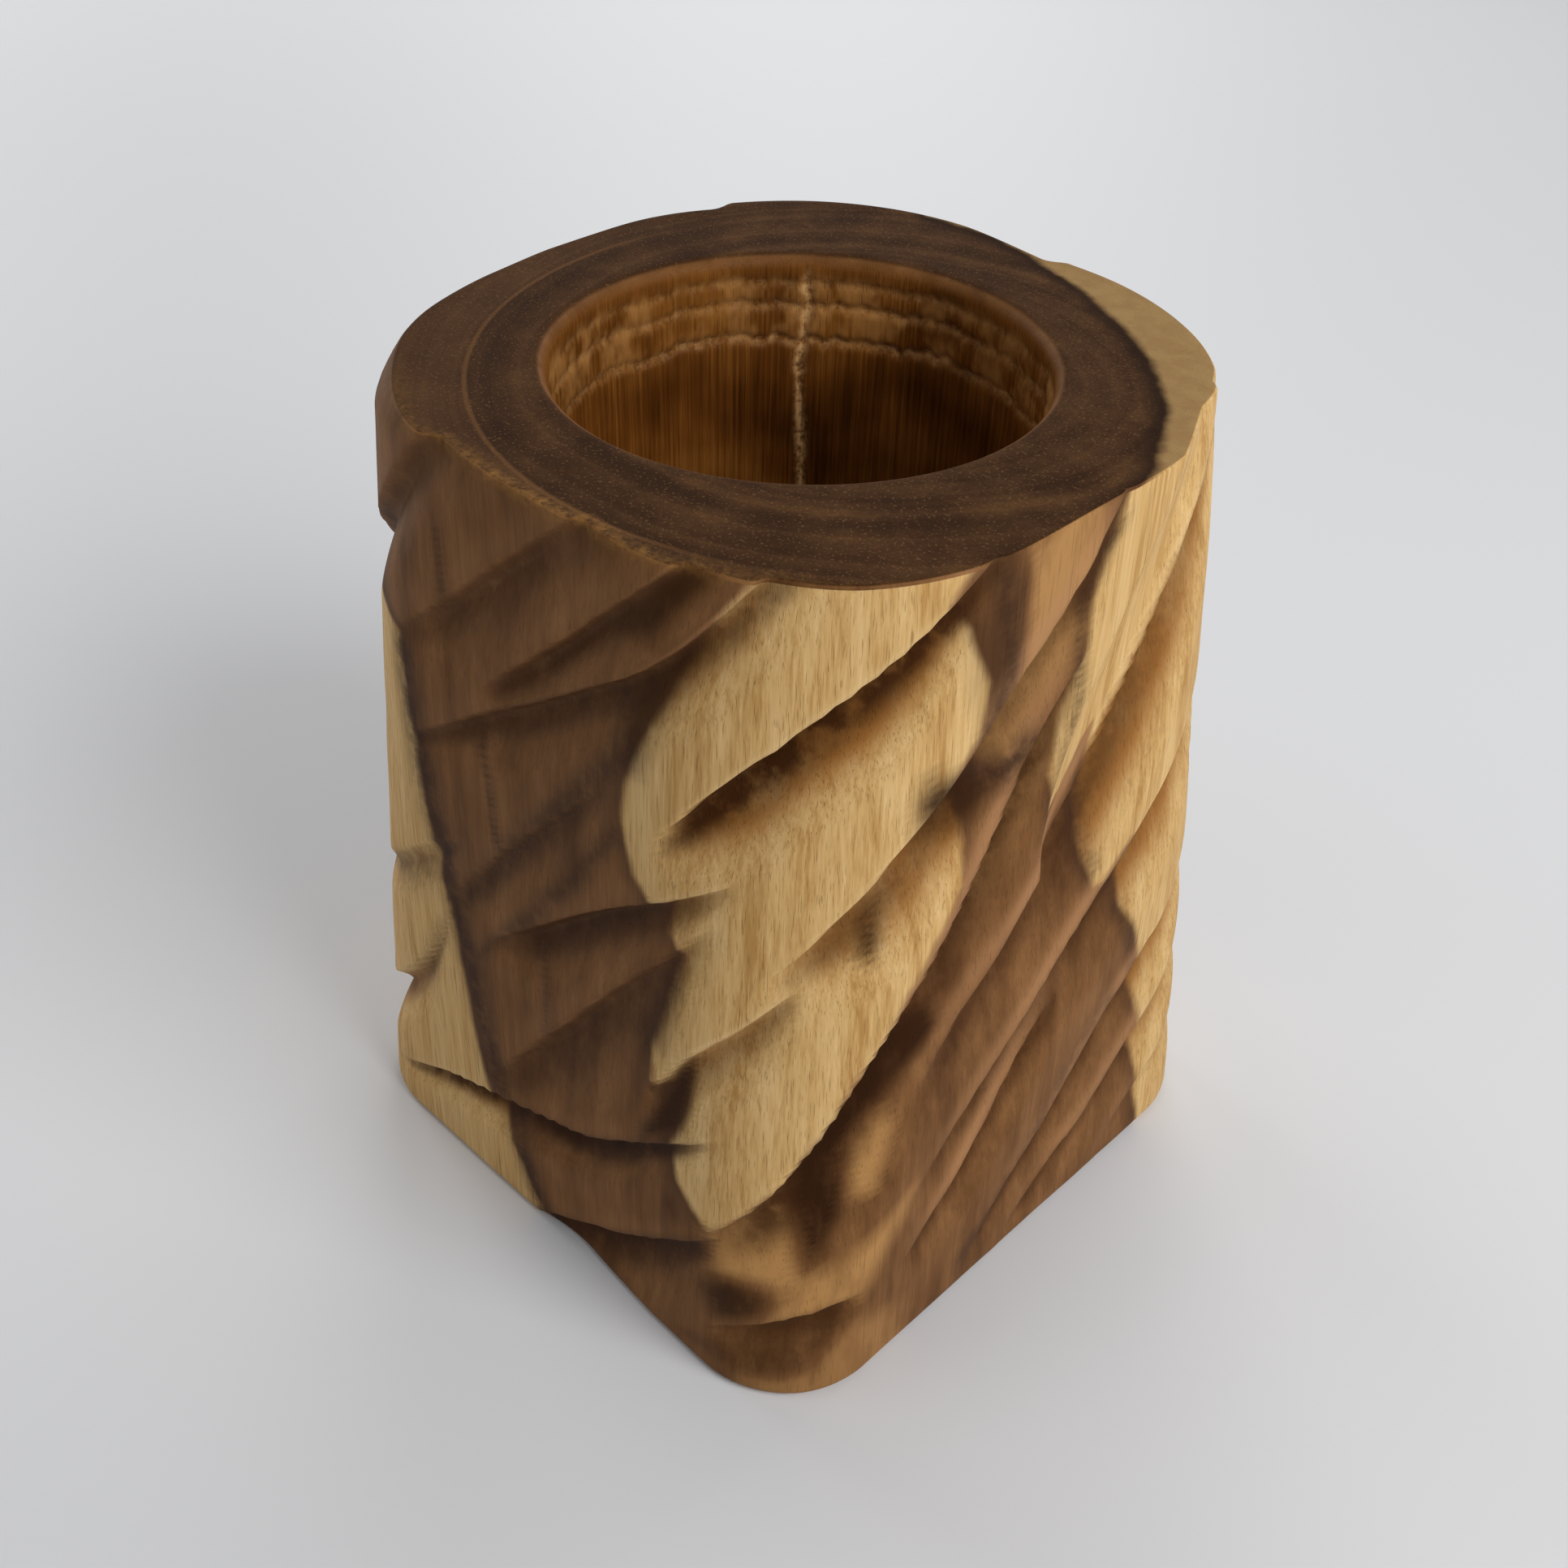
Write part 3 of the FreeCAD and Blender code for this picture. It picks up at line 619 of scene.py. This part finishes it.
# Partly the lip's own colour, partly painted highlight.
WELL_LIP = (142, 90, 40)
WELL_WASH = (182, 130, 72)
TORN_RIM = (172, 124, 66)
TORN_WELL = (204, 158, 104)
PORES = (60, 36, 18)

LEFT = (-0.62, -0.78, 0.0)  # towards the side where the strong growth ring shows on the top
BEHIND = (-0.68, 0.73, 0.0)  # towards the sides that the photo doesn't show


class Graph:
    """A thin layer over a material's nodes. Values may be numbers or output sockets."""

    def __init__(self, material):
        material.use_nodes = True
        self.tree = material.node_tree
        self.tree.nodes.clear()

    def node(self, kind, **settings):
        made = self.tree.nodes.new(kind)
        for name, value in settings.items():
            setattr(made, name, value)
        return made

    def put(self, socket, value):
        if isinstance(value, bpy.types.NodeSocket):
            self.tree.links.new(value, socket)
        else:
            socket.default_value = value

    def math(self, operation, *values, clamp=False):
        made = self.node("ShaderNodeMath", operation=operation, use_clamp=clamp)
        for socket, value in zip(made.inputs, values):
            self.put(socket, value)
        return made.outputs[0]

    def times(self, a, b, clamp=False):
        return self.math("MULTIPLY", a, b, clamp=clamp)

    def plus(self, a, b):
        return self.math("ADD", a, b)

    def minus(self, a, b):
        return self.math("SUBTRACT", a, b)

    def vector(self, operation, *values):
        made = self.node("ShaderNodeVectorMath", operation=operation)
        for socket, value in zip(made.inputs, values):
            self.put(socket, value)
        return made.outputs["Value" if operation in ("LENGTH", "DOT_PRODUCT") else "Vector"]

    def split(self, place):
        made = self.node("ShaderNodeSeparateXYZ")
        self.put(made.inputs[0], place)
        return made.outputs

    def field(self, name):
        return self.node("ShaderNodeAttribute", attribute_name=name).outputs["Fac"]

    def noise(self, place, scale, detail=2.0, roughness=0.5, stretch=(1, 1, 1)):
        made = self.node("ShaderNodeTexNoise")
        self.put(made.inputs["Vector"], self.vector("MULTIPLY", place, stretch))
        self.put(made.inputs["Scale"], scale)
        self.put(made.inputs["Detail"], detail)
        self.put(made.inputs["Roughness"], roughness)
        return made.outputs["Fac"]

    def spread(self, value, low, high, out_low=0.0, out_high=1.0):
        made = self.node("ShaderNodeMapRange", interpolation_type="SMOOTHSTEP")
        for socket, number in zip(made.inputs, (value, low, high, out_low, out_high)):
            self.put(socket, number)
        return made.outputs[0]

    def ramp(self, value, stops):
        made = self.node("ShaderNodeValToRGB")
        self.put(made.inputs[0], value)
        elements = made.color_ramp.elements
        while len(elements) < len(stops):
            elements.new(0.5)
        for element, (place, colour) in zip(elements, stops):
            element.position = place
            element.color = (*linear(colour), 1.0)
        return made.outputs[0]

    def mix(self, share, a, b):
        made = self.node("ShaderNodeMix", data_type="RGBA")
        self.put(made.inputs[0], share)
        for socket, value in ((made.inputs[6], a), (made.inputs[7], b)):
            self.put(socket, (*linear(value), 1.0) if isinstance(value, tuple) else value)
        return made.outputs[2]


def linear(colour):
    """Linear light from a colour written as 0 to 255 values."""
    return tuple(c / 255 / 12.92 if c <= 10 else ((c / 255 + 0.055) / 1.055) ** 2.4 for c in colour)


class Grain:
    """What the woods of the pot share: places in millimetres, noises, and where the sapwood is."""

    def __init__(self, g):
        place = g.node("ShaderNodeTexCoord").outputs["Object"]
        self.mm = mm = g.vector("MULTIPLY", place, (1 / MM, 1 / MM, 1 / MM))
        _, self.y, self.z = g.split(mm)
        facing = g.split(g.node("ShaderNodeNewGeometry").outputs["Normal"])
        self.faces_right = facing[0]
        self.end_grain = g.spread(facing[2], 0.75, 0.95)
        self.well = g.field("well")
        self.add_rings(g)
        self.fibres = g.noise(mm, 2.6, 4.0, 0.65, (1, 1, 0.02))
        self.streaks = g.noise(mm, 0.34, 3.0, 0.55, (1, 1, 0.06))
        self.fine = g.noise(mm, 7.0, 3.0, 0.6, (1, 1, 0.04))
        self.pores = g.spread(g.noise(mm, 6.0, 1.0, 0.5, (1, 1, 0.02)), 0.58, 0.74)
        self.blotch = g.noise(mm, 0.16, 3.0, 0.6, (1, 1, 0.45))
        self.add_border(g)

    def add_rings(self, g):
        """Growth rings round the pith, which the well has taken away."""
        from_pith = g.vector("MULTIPLY", g.vector("SUBTRACT", self.mm, (*PITH, 0)), (1, 1, 0))
        self.out = g.vector("LENGTH", from_pith)
        drift = g.noise(self.mm, 0.03, 1.0, 0.4, (1, 1, 0.25))
        made = g.node("ShaderNodeTexNoise", noise_dimensions="1D")
        g.put(made.inputs["W"], g.plus(self.out, g.times(drift, 6.0)))
        g.put(made.inputs["Scale"], 0.42)
        g.put(made.inputs["Detail"], 3.0)
        g.put(made.inputs["Roughness"], 0.6)
        self.bands = made.outputs["Fac"]

    def add_border(self, g):
        """The wavy border of the sapwood, which wanders most on the hidden sides."""
        waver = g.minus(g.noise(self.mm, 0.28, 3.0, 0.5, (1, 1, 0.5)), 0.5)
        sweep = g.minus(g.noise(self.mm, 0.055, 2.0, 0.5, (1, 1, 0.8)), 0.5)
        at_back = g.times(g.spread(g.vector("DOT_PRODUCT", self.mm, BEHIND), -4.0, 10.0),
                          g.spread(self.z, HEIGHT - 8.0, HEIGHT - 25.0))
        edge = g.plus(g.field("sapwood"), g.times(waver, 1.6))
        edge = g.plus(edge, g.times(g.times(sweep, at_back), 16.0))
        self.is_sap = g.spread(edge, -0.6, 0.7)
        self.border = g.times(g.spread(edge, -2.8, -0.5), g.minus(1.0, self.is_sap))


def side_colour(g, grain):
    """Sides: heartwood, sapwood, veins, the cuts' gold, stain with painted shade, and painted
    highlights.
    """
    mm = grain.mm
    mixed = g.plus(g.times(grain.bands, 0.2), g.times(grain.streaks, 0.35))
    heart = g.ramp(g.plus(mixed, g.times(grain.blotch, 0.45)), HEART_STOPS)
    heart = g.mix(g.spread(grain.fibres, 0.35, 0.75, 0.0, 0.3), heart, HEART_GRAIN)
    heart = g.mix(g.times(grain.border, 0.45), heart, HEART_BORDER)
    patchy = g.spread(g.noise(mm, 0.35, 3.0, 0.6, (1, 1, 0.4)), 0.3, 0.55, 0.7, 1.1)
    tone = g.times(g.field("tone"), patchy)
    heart = g.mix(g.times(tone, 0.85, clamp=True), heart, HEART_PALE)

    sap = g.ramp(g.plus(g.times(grain.streaks, 0.5), g.times(grain.fibres, 0.5)), SAP_STOPS)
    sap = g.mix(g.times(grain.pores, 0.2), sap, SAP_PORES)
    golden = g.times(g.spread(g.field("gold"), 0.25, 1.7, 0.0, 0.92),
                     g.spread(grain.blotch, 0.3, 0.55, 0.65, 1.0))
    sap = g.mix(golden, sap, SAP_CUT)

    side = g.mix(grain.is_sap, heart, sap)
    # Painted highlight on the heartwood crests, mostly on the faces turned to the key light on the +X
    # side.
    facing_key_light = g.spread(grain.faces_right, 0.35, 0.75, 0.12, 0.75)
    heart_crest_highlight = g.times(g.field("crest"), g.times(facing_key_light, g.minus(1.0, grain.is_sap)))
    side = g.mix(heart_crest_highlight, side, HEART_CREST_HIGHLIGHT)
    # Painted highlight along the crisp cut edges, on the sapwood only.
    side = g.mix(g.times(g.field("edge"), g.times(grain.is_sap, 0.45)), side, SAP_EDGE_HIGHLIGHT)
    patchy = g.spread(g.noise(mm, 0.3, 3.0, 0.6), 0.32, 0.58, 0.7, 1.1)
    less_stain_and_shade = g.times(grain.is_sap, g.spread(grain.y, 4.0, 22.0, 0.0, 0.6))
    # Stain and painted shade in the cut walls, with less of it on the sapwood towards +Y.
    stain = g.times(g.times(g.field("stain"), patchy), g.minus(1.0, less_stain_and_shade))
    side = g.mix(g.times(stain, 0.88, clamp=True), side, STAIN_AND_SHADE)
    veins = g.times(g.field("vein"), g.spread(g.noise(mm, 0.5, 3.0, 0.6), 0.3, 0.6, 0.6, 1.1))
    side = g.mix(g.times(veins, 0.9, clamp=True), side, VEIN)
    # Darker areas: dark heartwood, and painted shade for foot_shadow and part of wedge.
    return g.mix(g.times(tone, -0.9, clamp=True), side, HEART_DARK_AND_SHADE)


def top_colour(g, grain):
    """End grain, darker as it soaks up the oil, with fine pale fibres standing in it."""
    top = g.ramp(g.plus(g.times(grain.bands, 0.4), g.times(grain.blotch, 0.6)), TOP_STOPS)
    fibres = g.spread(g.noise(grain.mm, 1.5, 3.0, 0.7), 0.35, 0.65)
    top = g.mix(g.times(fibres, 0.3), top, TOP_FIBRES)
    only_left = g.spread(g.vector("DOT_PRODUCT", grain.mm, LEFT), 8.0, 22.0)
    past_line = g.minus(grain.out, RING_LINE)
    paler = g.times(g.spread(past_line, -0.2, 0.5), only_left)
    # Painted shade: the outer front-left of the top, inside the strong ring, painted darker than the
    # back and right, which catch the sheen.
    darker = g.times(g.times(g.spread(past_line, -7.0, -0.3), only_left), g.minus(1.0, paler))
    top = g.mix(g.times(paler, 0.3), top, TOP_PALE)
    top = g.mix(g.times(darker, 0.35), top, TOP_LEFT_SHADE)
    line = g.spread(g.math("ABSOLUTE", past_line), 0.05, 0.4, 0.5, 0.0)
    top = g.mix(g.times(line, only_left), top, TOP_RING_LINE)
    dots = g.spread(g.noise(grain.mm, 3.4, 1.0, 0.5), 0.6, 0.7)
    top = g.mix(g.times(dots, 0.38), top, TOP_DOTS)
    top = g.mix(g.times(grain.border, 0.75), top, TOP_BORDER)
    sap = g.mix(g.spread(grain.streaks, 0.35, 0.65, 0.0, 0.5), TOP_SAP_PALE, TOP_SAP_DARK)
    return g.mix(grain.is_sap, top, sap)


def well_colour(g, grain):
    """Golden brown; orange lip, partly painted highlight; paler washed band where the tool left its
    rings.
    """
    patchy = g.plus(g.times(grain.fibres, 0.45), g.times(g.noise(grain.mm, 0.09, 2.0), 0.55))
    inside = g.ramp(patchy, WELL_STOPS)
    # Orange lip: partly the wood's own colour, partly painted highlight where light catches the top of
    # the well wall.
    lip = g.spread(grain.z, HEIGHT - 3.0, HEIGHT - 0.8, 0.0, 0.4)
    inside = g.mix(lip, inside, WELL_LIP)
    band = g.times(g.spread(grain.z, HEIGHT - 11.0, HEIGHT - 8.0),
                   g.spread(grain.z, HEIGHT - 1.5, HEIGHT - 3.0))
    patchy = g.spread(g.noise(grain.mm, 0.22, 3.0, 0.6, (1, 1, 0.6)), 0.42, 0.62, 0.0, 0.55)
    return g.mix(g.times(band, patchy), inside, WELL_WASH)


def two_tone_wood():
    material = bpy.data.materials.new("two_tone_wood")
    g = Graph(material)
    grain = Grain(g)
    colour = g.mix(grain.end_grain, side_colour(g, grain), top_colour(g, grain))
    colour = g.mix(grain.well, colour, well_colour(g, grain))
    patchy = g.spread(g.noise(grain.mm, 1.2, 3.0, 0.6), 0.35, 0.6, 0.2, 1.3)
    torn = g.times(g.field("torn"), patchy)
    torn = g.times(torn, g.plus(g.times(grain.well, 0.25), 0.65), clamp=True)
    colour = g.mix(torn, colour, g.mix(grain.well, TORN_RIM, TORN_WELL))
    colour = g.mix(g.times(grain.pores, 0.2), colour, PORES)

    shader = g.node("ShaderNodeBsdfPrincipled")
    g.put(shader.inputs["Base Color"], colour)
    rough = g.plus(g.times(grain.fine, 0.25), 0.42)
    rough = g.plus(rough, g.times(grain.end_grain, 0.3))
    g.put(shader.inputs["Roughness"], g.minus(rough, g.times(grain.well, 0.12)))
    shader.inputs["Specular IOR Level"].default_value = 0.05
    raised = g.plus(g.times(grain.fibres, 0.05), g.times(grain.fine, 0.02))
    bump = g.node("ShaderNodeBump")
    bump.inputs["Strength"].default_value = 0.6
    bump.inputs["Distance"].default_value = MM
    g.put(bump.inputs["Height"], g.minus(raised, g.times(grain.pores, 0.05)))
    g.put(shader.inputs["Normal"], bump.outputs[0])
    g.put(g.node("ShaderNodeOutputMaterial").inputs[0], shader.outputs[0])
    return material


def floor_paint():
    material = bpy.data.materials.new("pale_floor")
    material.use_nodes = True
    shader = material.node_tree.nodes["Principled BSDF"]
    shader.inputs["Base Color"].default_value = (0.74, 0.745, 0.76, 1.0)
    shader.inputs["Roughness"].default_value = 0.55
    return material


# ---------------------------------------------------------------- stage

CAMERA_AZIMUTH = 43.2  # degrees round the pot from looking along +Y
CAMERA_PITCH = 38.69
CAMERA_ROLL = 1.84
CAMERA_YAW = -0.36
CAMERA_DISTANCE = 161.45  # from the pot's axis, level
CAMERA_HEIGHT = 174.53
LENS = 40.65
# Each light: name, turn from the camera, distance from the axis, height, size, power.
LIGHTS = (
    ("key", 50, 0.50, 0.45, 0.40, 2.9),
    ("left", -80, 0.60, 0.50, 0.50, 0.5),
    ("back_right", 145, 0.65, 0.50, 0.50, 0.9),
    ("far", 180, 1.00, 0.50, 0.60, 2.7),
    ("far_left", 225, 0.90, 0.40, 0.50, 2.2),
)


def around(azimuth, distance, height):
    """A place in metres, as seen from above: azimuth 0 is straight in front, on the -Y side."""
    turn = math.radians(azimuth)
    return Vector((math.sin(turn) * distance, -math.cos(turn) * distance, height))


def add_camera():
    data = bpy.data.cameras.new("camera")
    data.sensor_width = 36.0
    data.lens = LENS
    data.shift_y = 0.0055
    data.clip_start = 0.01
    camera = bpy.data.objects.new("camera", data)
    camera.location = around(CAMERA_AZIMUTH, CAMERA_DISTANCE * MM, CAMERA_HEIGHT * MM)
    heading = Matrix.Rotation(math.radians(CAMERA_AZIMUTH - CAMERA_YAW), 4, "Z")
    pitch = Matrix.Rotation(math.radians(90 - CAMERA_PITCH), 4, "X")
    roll = Matrix.Rotation(math.radians(CAMERA_ROLL), 4, "Z")
    camera.rotation_mode = "QUATERNION"
    camera.rotation_quaternion = (heading @ pitch @ roll).to_quaternion()
    bpy.context.collection.objects.link(camera)
    bpy.context.scene.camera = camera


def add_light(name, azimuth, distance, height, size, power):
    data = bpy.data.lights.new(name, "AREA")
    data.shape = "DISK"
    data.size = size
    data.energy = power
    light = bpy.data.objects.new(name, data)
    light.location = around(azimuth, distance, height)
    aim = Vector((0, 0, 0.05)) - light.location
    light.rotation_mode = "QUATERNION"
    light.rotation_quaternion = aim.to_track_quat("-Z", "Y")
    bpy.context.collection.objects.link(light)


def add_stage():
    mesh = bpy.data.meshes.new("floor")
    side = 3.0
    corners = [(-side, -side, 0), (side, -side, 0), (side, side, 0), (-side, side, 0)]
    mesh.from_pydata(corners, [], [(0, 1, 2, 3)])
    mesh.materials.append(floor_paint())
    ground = bpy.data.objects.new("floor", mesh)
    bpy.context.collection.objects.link(ground)
    world = bpy.data.worlds.new("studio")
    world.use_nodes = True
    background = world.node_tree.nodes["Background"]
    background.inputs[0].default_value = (0.97, 0.98, 1.0, 1.0)
    background.inputs[1].default_value = 0.2
    bpy.context.scene.world = world
    for name, turn, distance, height, size, power in LIGHTS:
        add_light(name, CAMERA_AZIMUTH + turn, distance, height, size, power)


# ---------------------------------------------------------------- build

bpy.context.scene.view_settings.view_transform = "Standard"
add_camera()
add_stage()
pot = make_pot()
pot.data.materials.append(two_tone_wood())
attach(pot, "root")
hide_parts("carved_pot")
